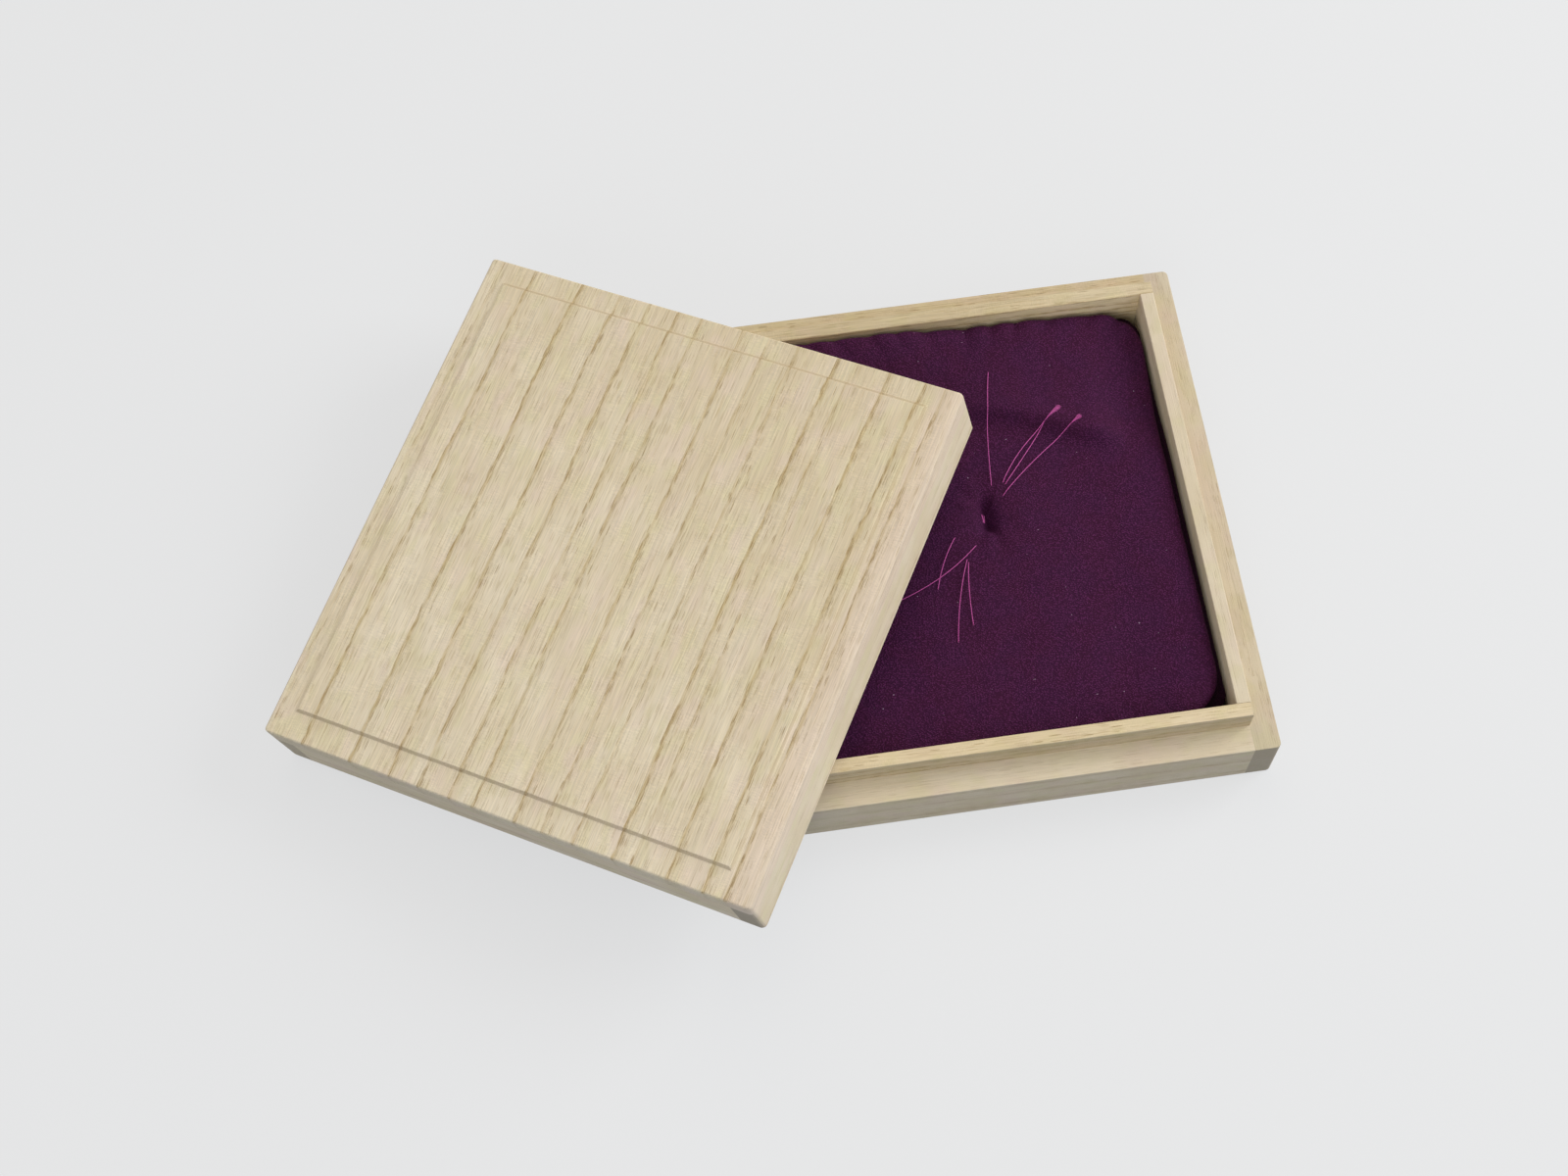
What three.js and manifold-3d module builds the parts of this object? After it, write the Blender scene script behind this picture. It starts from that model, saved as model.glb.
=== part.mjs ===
// A shallow paulownia box, shown open: a tray with a fitted lip, a tufted crepe cushion and a leaning lid.
// Lengths are in millimetres, +Z is up and the front faces -Y.
// The origin is the centre of the tray's underside.

import * as THREE from "three";
import { mergeVertices } from "three/addons/utils/BufferGeometryUtils.js";
import Module from "manifold-3d";

const wasm = await Module();
wasm.setup();

// Closed box
const boxWidth = 150;
const boxDepth = 155;
const wallThickness = 7.5;
const cornerRadius = 1.5;

// Tray
const trayWallHeight = 18.5;
const bottomThickness = 5;
const bottomRabbet = 3.5;
const lipThickness = 4;
const lipRise = 8;

// Lid
const lidHeight = 21.5;
const lidBoardThickness = 7;
const lidClearance = 0.4;
const lidEdgeRadius = 2;
const lidEndRounding = 1;
const borderWidth = 8.5;
const fieldRise = 0.7;
const fieldSlope = 1.4;
const fieldOffset = { x: -1, y: 0.7 };
const fieldCornerRadius = 0.4;

// Lid, taken off and leaning on the tray
const seatGap = 0.3;
const glueGap = 0.3;
const lidTurn = THREE.MathUtils.degToRad(-31.1);
const lidPlaceShare = { x: -0.649, y: -0.03 };

// Cushion
const cushionClearance = 0.8;
const cushionCornerRadius = 13;
const cushionEdgeRound = 7;
const cushionCrown = 4.2;
const cushionBackLift = 2.5;
const cushionBackReach = 28;
const cushionBelowLip = 2.5;
const sideDraw = 1;
const cushionFloorGap = 0.3;

// Tuft, drawn down a little off the middle by hand
const tuftPlace = { x: 5.5, y: 2 };
const tuftDepth = 6.5;
const tuftReach = 5.5;
const stitchLength = 8;
const stitchSpacing = 0.42;
const stitchRadius = 0.25;
const stitchCount = 3;
const stitchLift = 0.7;

// Fineness of round stretches
const cornerSteps = 4;
const edgeSteps = 5;
const slopeSteps = 5;
const stitchSides = 8;
const cutOverrun = 2;

// Finishes
const wood = { color: "#d0c1a3", roughness: 0.78, metalness: 0 };
const crepe = { color: "#421c3c", roughness: 0.95, metalness: 0 };
const thread = { color: "#a2458c", roughness: 0.6, metalness: 0 };

// Sizes that follow
const lidWall = wallThickness - lidClearance;
const lipTop = trayWallHeight + lipRise;
const lipOuterX = boxWidth / 2 - wallThickness;
const lipOuterY = boxDepth / 2 - wallThickness;
const lipInnerX = lipOuterX - lipThickness;
const lipInnerY = lipOuterY - lipThickness;
const cushionFloorZ = bottomThickness + cushionFloorGap;
const cushionEdgeThickness = lipTop - cushionBelowLip - cushionCrown - cushionFloorZ;

function piece(name, geometry, finish) {
  const mesh = new THREE.Mesh(geometry, new THREE.MeshStandardMaterial(finish));
  mesh.name = name;
  return mesh;
}

// A straight block between two opposite corners
function block(low, high) {
  const size = new THREE.Vector3().subVectors(high, low);
  const middle = new THREE.Vector3().addVectors(low, high).divideScalar(2);
  return new THREE.BoxGeometry(size.x, size.y, size.z).translate(middle.x, middle.y, middle.z);
}

function solidOf(geometry) {
  const bare = geometry.clone();
  bare.deleteAttribute("normal");
  bare.deleteAttribute("uv");
  const merged = mergeVertices(bare);
  return new wasm.Manifold(new wasm.Mesh({
    numProp: 3,
    vertProperties: new Float32Array(merged.attributes.position.array),
    triVerts: new Uint32Array(merged.index.array),
  }));
}

function geometryOf(solid) {
  const { vertProperties, triVerts } = solid.getMesh();
  const geometry = new THREE.BufferGeometry();
  geometry.setAttribute("position", new THREE.BufferAttribute(vertProperties, 3));
  geometry.setIndex(new THREE.BufferAttribute(triVerts, 1));
  geometry.computeVertexNormals();
  return geometry;
}

// Points of a level rectangle with round corners, counter-clockwise seen from above
function roundedRing(halfX, halfY, radius, z) {
  const corners = [[1, 1], [-1, 1], [-1, -1], [1, -1]];
  return corners.flatMap(([signX, signY], quarter) =>
    Array.from({ length: cornerSteps + 1 }, (_, step) => {
      const angle = (quarter + step / cornerSteps) * Math.PI / 2;
      const x = signX * (halfX - radius) + radius * Math.cos(angle);
      const y = signY * (halfY - radius) + radius * Math.sin(angle);
      return new THREE.Vector3(x, y, z);
    }));
}

// A closed skin through stacked rings of equally many points, with a fan to the middle of each end
function stackedRings(rings, lowMiddle, highMiddle) {
  const count = rings[0].length;
  const points = [...rings.flat(), lowMiddle, highMiddle];
  const lowIndex = points.length - 2;
  const highIndex = points.length - 1;
  const topRing = (rings.length - 1) * count;
  const index = [];
  for (let i = 0; i < count; i += 1) {
    const next = (i + 1) % count;
    index.push(lowIndex, next, i);
    index.push(highIndex, topRing + i, topRing + next);
    for (let level = 0; level < topRing; level += count) {
      index.push(level + i, level + next, level + count + next);
      index.push(level + i, level + count + next, level + count + i);
    }
  }
  const geometry = new THREE.BufferGeometry().setFromPoints(points);
  geometry.setIndex(index);
  geometry.computeVertexNormals();
  return geometry;
}

// The box's outline, with eased upright corners, between two levels
function outlineSolid(lowZ, highZ) {
  const rings = [lowZ, highZ].map((z) => roundedRing(boxWidth / 2, boxDepth / 2, cornerRadius, z));
  return solidOf(stackedRings(rings, new THREE.Vector3(0, 0, lowZ), new THREE.Vector3(0, 0, highZ)));
}

// A side wall runs the full depth and takes the outline's round corners
function sideWall(sign, thickness, lowZ, highZ) {
  const innerX = boxWidth / 2 - thickness;
  const outerX = boxWidth / 2 + cutOverrun;
  const farY = boxDepth / 2 + cutOverrun;
  const low = new THREE.Vector3(sign > 0 ? innerX : -outerX, -farY, lowZ - cutOverrun);
  const high = new THREE.Vector3(sign > 0 ? outerX : -innerX, farY, highZ + cutOverrun);
  return outlineSolid(lowZ, highZ).intersect(solidOf(block(low, high)));
}

// A front or back wall, or a strip of the lip, spans a given half length between two depths
function crossPiece(sign, halfLength, innerY, outerY, lowZ, highZ) {
  const nearY = sign > 0 ? innerY : -outerY;
  const farY = sign > 0 ? outerY : -innerY;
  const low = new THREE.Vector3(-halfLength, nearY, lowZ);
  const high = new THREE.Vector3(halfLength, farY, highZ);
  return block(low, high);
}

// The tray's four outer walls, with a rabbet inside their foot for the bottom board
function trayWalls() {
  const boardX = lipOuterX + bottomRabbet;
  const boardY = lipOuterY + bottomRabbet;
  const rabbet = solidOf(block(
    new THREE.Vector3(-boardX, -boardY, -cutOverrun),
    new THREE.Vector3(boardX, boardY, bottomThickness),
  ));
  const bottom = block(
    new THREE.Vector3(-boardX, -boardY, 0),
    new THREE.Vector3(boardX, boardY, bottomThickness),
  );
  const left = sideWall(-1, wallThickness, 0, trayWallHeight).subtract(rabbet);
  const right = sideWall(1, wallThickness, 0, trayWallHeight).subtract(rabbet);
  const frontBlock = crossPiece(-1, lipOuterX, lipOuterY, boxDepth / 2, 0, trayWallHeight);
  const backBlock = crossPiece(1, lipOuterX, lipOuterY, boxDepth / 2, 0, trayWallHeight);
  return [
    piece("tray_bottom_board", bottom, wood),
    piece("tray_left_wall", geometryOf(left), wood),
    piece("tray_right_wall", geometryOf(right), wood),
    piece("tray_front_wall", geometryOf(solidOf(frontBlock).subtract(rabbet)), wood),
    piece("tray_back_wall", geometryOf(solidOf(backBlock).subtract(rabbet)), wood),
  ];
}

// The lip: strips glued inside the walls, standing on the bottom board and proud of the ledge
function lipStrips() {
  const sideStrip = (sign) => block(
    new THREE.Vector3(sign > 0 ? lipInnerX : -lipOuterX, -lipInnerY, bottomThickness),
    new THREE.Vector3(sign > 0 ? lipOuterX : -lipInnerX, lipInnerY, lipTop),
  );
  return [
    piece("lip_front", crossPiece(-1, lipOuterX, lipInnerY, lipOuterY, bottomThickness, lipTop), wood),
    piece("lip_back", crossPiece(1, lipOuterX, lipInnerY, lipOuterY, bottomThickness, lipTop), wood),
    piece("lip_left", sideStrip(-1), wood),
    piece("lip_right", sideStrip(1), wood),
  ];
}

// The lid's board: a round upper edge that is fuller at the sides than at the ends, a level border,
// and a soft slope up to the raised field. The border is planed by hand, so the field lies a little
// off the middle.
function lidBoard() {
  const borderZ = lidHeight - fieldRise;
  const stepFoot = borderWidth - fieldSlope;
  const ring = (sideInset, endInset, z) => roundedRing(
    boxWidth / 2 - sideInset,
    boxDepth / 2 - endInset,
    Math.max(cornerRadius - sideInset, fieldCornerRadius),
    z,
  );
  const offset = new THREE.Vector3(fieldOffset.x, fieldOffset.y, 0);
  const fieldRing = (inset, z) => ring(inset, inset, z).map((point) => point.add(offset));
  const lowZ = lidHeight - lidBoardThickness;
  const rings = [ring(0, 0, lowZ)];
  for (let step = 0; step <= edgeSteps; step += 1) {
    const angle = step / edgeSteps * Math.PI / 2;
    const inShare = 1 - Math.cos(angle);
    const z = borderZ - lidEdgeRadius * (1 - Math.sin(angle));
    rings.push(ring(lidEdgeRadius * inShare, lidEndRounding * inShare, z));
  }
  for (let step = 0; step <= slopeSteps; step += 1) {
    const share = step / slopeSteps;
    const z = borderZ + fieldRise * THREE.MathUtils.smoothstep(share, 0, 1);
    rings.push(fieldRing(stepFoot + fieldSlope * share, z));
  }
  return stackedRings(rings, new THREE.Vector3(0, 0, lowZ), new THREE.Vector3(0, 0, lidHeight));
}

// The lid in its own frame: its rim lies in the plane z = 0, centred
function lidPieces() {
  const wallTop = lidHeight - lidBoardThickness - glueGap;
  const innerY = boxDepth / 2 - lidWall;
  const halfLength = boxWidth / 2 - lidWall - glueGap;
  return [
    piece("lid_top_board", lidBoard(), wood),
    piece("lid_left_wall", geometryOf(sideWall(-1, lidWall, 0, wallTop)), wood),
    piece("lid_right_wall", geometryOf(sideWall(1, lidWall, 0, wallTop)), wood),
    piece("lid_front_wall", crossPiece(-1, halfLength, innerY, boxDepth / 2, 0, wallTop), wood),
    piece("lid_back_wall", crossPiece(1, halfLength, innerY, boxDepth / 2, 0, wallTop), wood),
  ];
}

// Where a straight edge of the lid's rim, from start to end, crosses a given x or y of the tray
function crossing(start, end, axis, value) {
  const share = (value - start[axis]) / (end[axis] - start[axis]);
  return new THREE.Vector3().lerpVectors(start, end, share);
}

// The leaning lid touches at three places: its near left corner on the table, its back wall on the
// left strip of the lip, and its right wall on the front strip. The slope follows from their heights.
function leanLid(lid) {
  const up = new THREE.Vector3(0, 0, 1);
  const turn = new THREE.Quaternion().setFromAxisAngle(up, lidTurn);
  const placeX = lidPlaceShare.x * boxWidth;
  const placeY = lidPlaceShare.y * boxDepth;
  const heights = new THREE.Vector3(seatGap, lipTop + seatGap, lipTop + seatGap);
  const rim = (x, y) => lid.localToWorld(new THREE.Vector3(x, y, 0));
  const innerX = boxWidth / 2 - lidWall;
  const innerY = boxDepth / 2 - lidWall;
  const slope = new THREE.Vector3();
  const passes = 20;
  for (let pass = 0; pass < passes; pass += 1) {
    const normal = new THREE.Vector3(-slope.x, -slope.y, 1).normalize();
    lid.quaternion.setFromUnitVectors(up, normal).multiply(turn);
    lid.position.set(placeX, placeY, slope.x * placeX + slope.y * placeY + slope.z);
    lid.updateMatrixWorld();
    const corner = rim(-boxWidth / 2, -boxDepth / 2);
    const onLeft = crossing(rim(-boxWidth / 2, innerY), rim(boxWidth / 2, innerY), "x", -lipOuterX);
    const onFront = crossing(rim(innerX, -boxDepth / 2), rim(innerX, boxDepth / 2), "y", -lipOuterY);
    const places = new THREE.Matrix3().set(
      corner.x, corner.y, 1,
      onLeft.x, onLeft.y, 1,
      onFront.x, onFront.y, 1,
    );
    slope.copy(heights).applyMatrix3(places.invert());
  }
  return lid;
}

// The cushion's outline: round corners, with each side drawn in between them
function cushionOutline() {
  const halfX = lipInnerX - cushionClearance;
  const halfY = lipInnerY - cushionClearance;
  const sideSteps = 7;
  const straightX = halfX - cushionCornerRadius;
  const straightY = halfY - cushionCornerRadius;
  const corners = roundedRing(halfX, halfY, cushionCornerRadius, 0);
  const outline = [];
  corners.forEach((point, i) => {
    outline.push(point);
    if (i % (cornerSteps + 1) === cornerSteps) {
      const next = corners[(i + 1) % corners.length];
      for (let step = 1; step < sideSteps; step += 1) {
        outline.push(new THREE.Vector3().lerpVectors(point, next, step / sideSteps));
      }
    }
  });
  return outline.map((point) => {
    const alongX = Math.min(Math.abs(point.x) / straightX, 1);
    const alongY = Math.min(Math.abs(point.y) / straightY, 1);
    const pullX = sideDraw * (1 - alongY ** 2) * Math.sign(point.x);
    const pullY = sideDraw * (1 - alongX ** 2) * Math.sign(point.y);
    return new THREE.Vector3(point.x - pullX, point.y - pullY, 0);
  });
}

// How far the tuft's stitches draw the top down at a place
function tuftDip(x, y) {
  const alongStitch = Math.max(Math.abs(y - tuftPlace.y) - stitchLength / 2, 0);
  const distance = Math.hypot(x - tuftPlace.x, alongStitch);
  return tuftDepth * Math.exp(-distance / tuftReach);
}

// Height of the cushion's top over its underside: it crowns towards the middle and rises along the back
function cushionTop(x, y) {
  const crown = cushionCrown * (1 - (x / lipInnerX) ** 2) * (1 - (y / lipInnerY) ** 2);
  const backShare = THREE.MathUtils.smoothstep(y, lipInnerY - cushionBackReach, lipInnerY);
  return cushionEdgeThickness + crown + cushionBackLift * backShare - tuftDip(x, y);
}

// A pad that swells from its seam: a flat underside, a plump edge and a crowned, tufted top
function cushionSkin() {
  const outline = cushionOutline();
  const middle = new THREE.Vector3(tuftPlace.x, tuftPlace.y, 0);
  const edgeShare = 1 - cushionEdgeRound / lipInnerX;
  const plumpness = 0.8;
  const rings = [];
  const ringAt = (share, heightShare) => outline.map((point) => {
    const spot = new THREE.Vector3().lerpVectors(middle, point, share);
    return spot.setZ(cushionFloorZ + heightShare * cushionTop(spot.x, spot.y));
  });
  const edgeRings = 9;
  for (let step = 0; step <= edgeRings; step += 1) {
    const angle = (step / edgeRings - 1 / 2) * Math.PI;
    const out = Math.cos(angle) ** plumpness;
    const lift = Math.sign(angle) * Math.abs(Math.sin(angle)) ** plumpness;
    rings.push(ringAt(edgeShare + (1 - edgeShare) * out, (1 + lift) / 2));
  }
  const topShares = [0.9, 0.78, 0.66, 0.54, 0.43, 0.33, 0.25, 0.18, 0.125, 0.085, 0.055, 0.03];
  for (const topShare of topShares) {
    rings.push(ringAt(edgeShare * topShare, 1));
  }
  const low = middle.clone().setZ(cushionFloorZ);
  const high = middle.clone().setZ(cushionFloorZ + cushionTop(middle.x, middle.y));
  return stackedRings(rings, low, high);
}

// The tuft's thread, laid in short stitches pressed against each other along the bottom of the dip
function tuftStitches() {
  const outermost = (stitchCount - 1) / 2 * stitchSpacing;
  const fabricZ = cushionFloorZ + cushionTop(tuftPlace.x + outermost, tuftPlace.y);
  const lift = fabricZ + stitchLift + stitchRadius;
  const section = new THREE.Shape().absarc(0, 0, stitchRadius, 0, 2 * Math.PI);
  const solids = Array.from({ length: stitchCount }, (_, i) => {
    const x = tuftPlace.x - outermost + i * stitchSpacing;
    const path = new THREE.QuadraticBezierCurve3(
      new THREE.Vector3(x, tuftPlace.y - stitchLength / 2, lift),
      new THREE.Vector3(x, tuftPlace.y, lift + stitchRadius),
      new THREE.Vector3(x, tuftPlace.y + stitchLength / 2, lift),
    );
    return solidOf(new THREE.ExtrudeGeometry(section, {
      curveSegments: stitchSides / 2,
      steps: stitchSides,
      extrudePath: path,
    }));
  });
  return geometryOf(solids.reduce((joined, solid) => joined.add(solid)));
}

const tray = new THREE.Group();
tray.add(...trayWalls(), ...lipStrips());

const pad = new THREE.Group();
pad.add(piece("cushion", cushionSkin(), crepe), piece("tuft_stitch", tuftStitches(), thread));

const lid = leanLid(new THREE.Group());
lid.add(...lidPieces());

const openBox = new THREE.Group();
openBox.add(tray, pad, lid);

export default openBox;
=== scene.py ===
"""The looks of an opened paulownia box: planed boards with their grain, a tufted crepe cushion, thread ends.

Blender works in metres in the part's own frame: +X to the tray's right, -Y out of its front, +Z up.
Sizes below are in millimetres and are turned into metres where a mesh is made.
"""

import math

import bmesh
import bpy
import numpy as np
from mathutils import Matrix, Vector, noise
from mathutils.bvhtree import BVHTree


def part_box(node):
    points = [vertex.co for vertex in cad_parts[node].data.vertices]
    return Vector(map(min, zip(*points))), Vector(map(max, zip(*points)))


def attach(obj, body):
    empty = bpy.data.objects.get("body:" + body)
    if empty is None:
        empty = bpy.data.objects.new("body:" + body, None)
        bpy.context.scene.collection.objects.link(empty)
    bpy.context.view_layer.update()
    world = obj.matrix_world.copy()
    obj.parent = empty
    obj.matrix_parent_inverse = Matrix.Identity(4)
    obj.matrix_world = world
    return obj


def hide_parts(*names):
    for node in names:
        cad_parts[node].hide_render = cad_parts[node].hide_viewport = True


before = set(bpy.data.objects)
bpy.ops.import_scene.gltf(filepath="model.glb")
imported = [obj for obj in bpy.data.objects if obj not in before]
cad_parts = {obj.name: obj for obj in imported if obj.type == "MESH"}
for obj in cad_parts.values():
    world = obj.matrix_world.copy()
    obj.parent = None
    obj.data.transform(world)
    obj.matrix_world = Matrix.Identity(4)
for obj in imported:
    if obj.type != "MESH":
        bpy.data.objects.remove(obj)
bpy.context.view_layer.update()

MM = 0.001

# The camera, as fitted to the photograph's straight edges; its turns are in radians
CAMERA_PLACE = (-85.7, -287.8, 641.5)
CAMERA_YAW = 0.1123
CAMERA_PITCH = 1.1486
CAMERA_ROLL = 0.0318
LENS = 54.97
SENSOR = 36.0

# Each lamp's place and size in metres, its share of the light at which white renders white, and its tint
LAMPS = {
    "ceiling": ((-0.1, 0.9, 1.3), (1.3, 1.3), 0.20, (1.14, 1.0, 0.80)),
    "window": ((1.35, 0.25, 0.85), (1.1, 0.9), 0.86, (0.97, 1.0, 1.03)),
    "fill": ((-0.4, -1.3, 0.95), (1.4, 1.0), 0.30, (0.94, 1.0, 1.10)),
}
LAMPS_AIM = (-0.02, 0.0, 0.02)
ROOM_SHARE = 0.40
ROOM_TINT = (0.95, 1.0, 1.07)

# The floor and the room look pale to these rays, and throw less light on the box
SEEING_RAYS = ("Camera", "Glossy", "Transmission")
PALE_GREY = (230, 230, 230)
SPECK_GREY = (220, 220, 220)
FLOOR_BOUNCE = (112, 126, 148)
FLOOR_GLOW = 0.8
FLOOR_HALF = 3.0

# The wood's colours as the eye sees them, 0 to 255, and the shares of light kept where the lid's board grows
# darker towards its back and right
STRAW = (225, 207, 175)
LIGHT_STRAW = (232, 216, 187)
GREENISH = (221, 208, 166)
ROSY = (228, 205, 184)
LATE_WOOD = (204, 184, 142)
RING_LINE = (192, 164, 108)
LONG_PORE = (186, 160, 112)
FINE_PORE = (176, 148, 98)
LARGE_PORE = (152, 118, 68)
CUT_END = (148, 136, 118)
# Painted shade: the brown that the slopes round the lid's field are darkened towards
STEP_SHADE_BROWN = (150, 122, 84)
BACK_RIGHT_DARKER = (0.91, 0.89, 0.85)

# The colours of the crepe, its lint and the thread, with the painted highlight on the crepe's pebbles
PLUM = (55, 18, 44)
BLUER_PLUM = (54, 19, 47)
PAINTED_HIGHLIGHT_PLUM = (106, 44, 93)
PLUM_SHEEN = (200, 110, 185)
# Painted shade: the near-black given to the cloth below the seam
PAINTED_SEAM_SHADE = (9, 3, 7)
LINT = (196, 170, 190)
MAGENTA = (170, 52, 128)
LIGHT_MAGENTA = (212, 88, 170)

# How the boards' CAD meshes are joined, and how their arrises are eased
WELD = 0.01
FLAT_ANGLE = math.radians(0.5)
ARRIS_ANGLE = math.radians(40)
SHADED_SHARP_ANGLE = math.radians(50)
EASED_ARRIS = 0.25
NARROW_ARRIS = 0.1
TOUCHING = 0.05
GLUE_GAP = 0.3

# The lid board's upper edge, as the CAD rounds it, and the share of that rounding which is taken away
ROUNDING = 2.0
END_INSET = 1.0
SHARPER = 0.7
ENDS_SHARPER = SHARPER / 2

# Where each growth ring's dark line crosses the middle of the lid's board, and how strongly it shows
LID_RINGS = (
    (-73, 0.3), (-62, 0.8), (-46.5, 1), (-34, 0.8), (-24.5, 0.75), (-15, 0.7), (-7.5, 0.7), (5.5, 0.75),
    (14, 0.5), (23, 0.5), (35, 1), (40.5, 0.45), (51, 0.85), (61.5, 0.9), (68, 0.7),
)
LID_HALF = 80.0
RING_SLANT = 0.014
WIDEST_RING = 20.0
STRENGTH_LEAD = 0.4

# The lid board's rosy right border, and how far its raised field and the slope round it reach
ROSY_BORDER = 67.5
ROSY_FADE = 1.5
FIELD_REACH = 71.5

# Painted shade on the slope round the lid's field where it faces front, back or right, painted light where it
# faces left, and painted shade on the board's rounded right edge
PAINTED_SLOPE_LIGHT = {"front": 0.88, "back": 0.89, "right": 0.88, "left": 1.2}
RIGHT_EDGE_PAINTED_SHADE = 0.87

# How light each board's wood is; boards come from different planks
LID_WALL_TONE = 0.95
BOARD_TONES = {
    "lid_top_board": 0.99,
    "tray_bottom_board": 0.8,
    "tray_front_wall": 0.86,
    "tray_back_wall": 0.75,
    "tray_left_wall": 0.76,
    "tray_right_wall": 0.72,
    "lip_front": 0.83,
    "lip_back": 0.74,
    "lip_left": 0.8,
    "lip_right": 0.80,
}

# Painted light and shade on the upright faces of the lip's strips: painted shade on the front strip's faces,
# painted light on the back and right strips' faces round the cushion
LIP_SIDE_PAINTED_LIGHT = {"lip_front": 0.72, "lip_back": 1.17, "lip_left": 1.0, "lip_right": 1.02}

# How strongly cut ends darken
END_GRAIN = {"lid_top_board": 0.15, "lid_right_wall": 0.8}
END_GRAIN_ELSEWHERE = 0.5

# How far the wood's pattern shifts from board to board, along, across and through the grain
PLANK_SHIFT = (37.0, 61.0, 23.0)

# The cushion's plan, and how its right side draws in from the wall between its corners
WALL_GAP = 0.35
CORNER_RADIUS = 13.0
BELLY_RADIUS = 7.0
SIDE_DRAW = 2.1
DRAW_FROM_BACK = (66, 16)
DRAW_TO_FRONT = (-8, -45)
FRONT_EASING = 0.25
DRAW_ACROSS = (20, 50)

# The cushion's height, its plump edge and the seam below it
EDGE_HEIGHT = 14.5
CROWN = 4.2
EDGE_ROUND = 2.6
SEAM_DROP = 2.2
BACK_SEAM_DROP = 3.5
BELLY_DROP = 2.5
# Painted shade: the share of the seam's painted shade that stays on the cushion's underside
UNDERSIDE_SHADE = 0.7
PUCKER_SPACING = 10.0
PUCKER_HEIGHT = 1.7
PUCKER_REACH = 6.5

# How far from the back the gathers start and finish growing, and the seam its deeper drop
GATHERS_GROW = (12, 2)
SEAM_DROPS = (8, 1)

# Where the wadding is pushed up: how high, and between which places it rises
BACK_LIFT = 1.9
BACK_LIFT_ACROSS = (66, 24)
LEFT_LIFT = 3.6
LEFT_LIFT_ACROSS = (10, -14)
BACK_LIFT_DEPTH = (36, 64)
RIGHT_LIFT = 2.4
RIGHT_LIFT_ACROSS = (34, 60)
RIGHT_LIFT_DEPTH = (36, 6)

# The soft fold in front of the raised part
FOLD_START = (11.0, 33.5)
FOLD_END = (43.0, 23.0)
FOLD_WAVE = 0.8
FOLD_HEIGHT = 6.2
FOLD_SOFTNESS = 1.5
FOLD_REACH = 11

# The tuft: a narrow dip and a wider funnel round the stitches, with fine creases
TUFT_PLACE = (6.2, 2.6)
TUFT_LENGTH = 6.5
TUFT_DEPTH = 2.0
TUFT_WIDTH = 1.9
TUFT_FUNNEL = 2.6
TUFT_REACH = 3.8
CREASE_HEIGHT = 0.3
CREASE_START = 2.5
CREASE_REACH = 8

# Fineness of the cushion's mesh
AROUND = 480
TOP_RINGS = 75
EDGE_RINGS = 19
SIDE_RINGS = 6
UNDER_RINGS = 10

# Thread ends that lie on the cushion: where each one starts and ends, and how far it bows to its left
THREAD_WIDTH = 0.28
THREAD_TWIST = 0.9
THREAD_FLATNESS = 0.62
THREAD_SIDES = 8
THREAD_STEP = 0.18
THREAD_ENDS = {
    "back": ((9, 10), (14.5, 47.5), 0.8),
    "pair_upper": ((12, 11), (27.5, 28.5), 1.1),
    "pair_lower": ((12.5, 10.5), (27.5, 28.5), -0.3),
    "right": ((11, 7), (35, 26.5), 0.6),
    "left_long": ((2.3, -6), (-22.5, -20.5), 2),
    "left_short": ((-3.8, -3.2), (-11.5, -18.5), -0.7),
    "front_left": ((-1.5, -10), (-8.5, -35), -0.8),
    "front_right": ((-1.5, -11), (-3.5, -30.5), -0.5),
}

# How a thread end lies: it arches a little off the cloth, and sinks into it where it leaves the tuft.
# Places on the cloth are found from above it.
THREAD_PLACES = 12
THREAD_ARCH = 0.7
THREAD_LIFT = 0.1
THREAD_SINK = 0.8
ABOVE_CLOTH = 60.0

# How long the frayed tips are; their fibres start inside the thread, spread and meet again in a round end
FRAYED = {"pair_upper": 7.5, "right": 4.5}
TIP_OVERLAP = 0.3
BRUSH_WIDTH = 1.6
BRUSH_FIBRES = 46
FIBRE_WIDTH = 0.075
FIBRE_STEP = 0.3
FIBRE_TURN = 2.4

# How wide a brush is at each share of its length
BRUSH_SWELL = (
    (0, 0), (0.2, 0.16), (0.4, 0.34), (0.6, 0.55), (0.75, 0.8), (0.87, 1.0), (0.95, 0.9), (1.0, 0.5),
)

# A cut tip is a short brush of a few fibres; the pair's second thread ends inside the first one's brush
CUT_TIP = 0.8
CUT_FIBRES = 7
CUT_SPREAD = 0.3
SHARED_TIP = "pair_lower"

# The stitches in the tuft
STITCHES = 3
STITCH_LENGTH = 2.4
STITCH_SPACING = 0.3
STITCH_LEFT = 0.8
STITCH_WOBBLE = 0.12


def metres(*place):
    """A place in millimetres as a vector in metres."""
    return Vector(place) * MM


def linear(red, green, blue):
    """A colour given as the eye sees it, 0 to 255, in the renderer's linear values."""
    shares = (channel / 255 for channel in (red, green, blue))
    return tuple(s / 12.92 if s <= 0.04045 else ((s + 0.055) / 1.055) ** 2.4 for s in shares)


def placed(name, data):
    """A new object in the scene for a mesh, camera or lamp."""
    thing = bpy.data.objects.new(name, data)
    bpy.context.scene.collection.objects.link(thing)
    return thing


def keep_values(mesh, label, domain, values):
    """Numbers that a finish reads as an attribute, one for each point or face."""
    stored = mesh.attributes.new(label, "FLOAT", domain)
    stored.data.foreach_set("value", np.asarray(values, dtype=np.float32))


# Shader formulas


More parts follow.
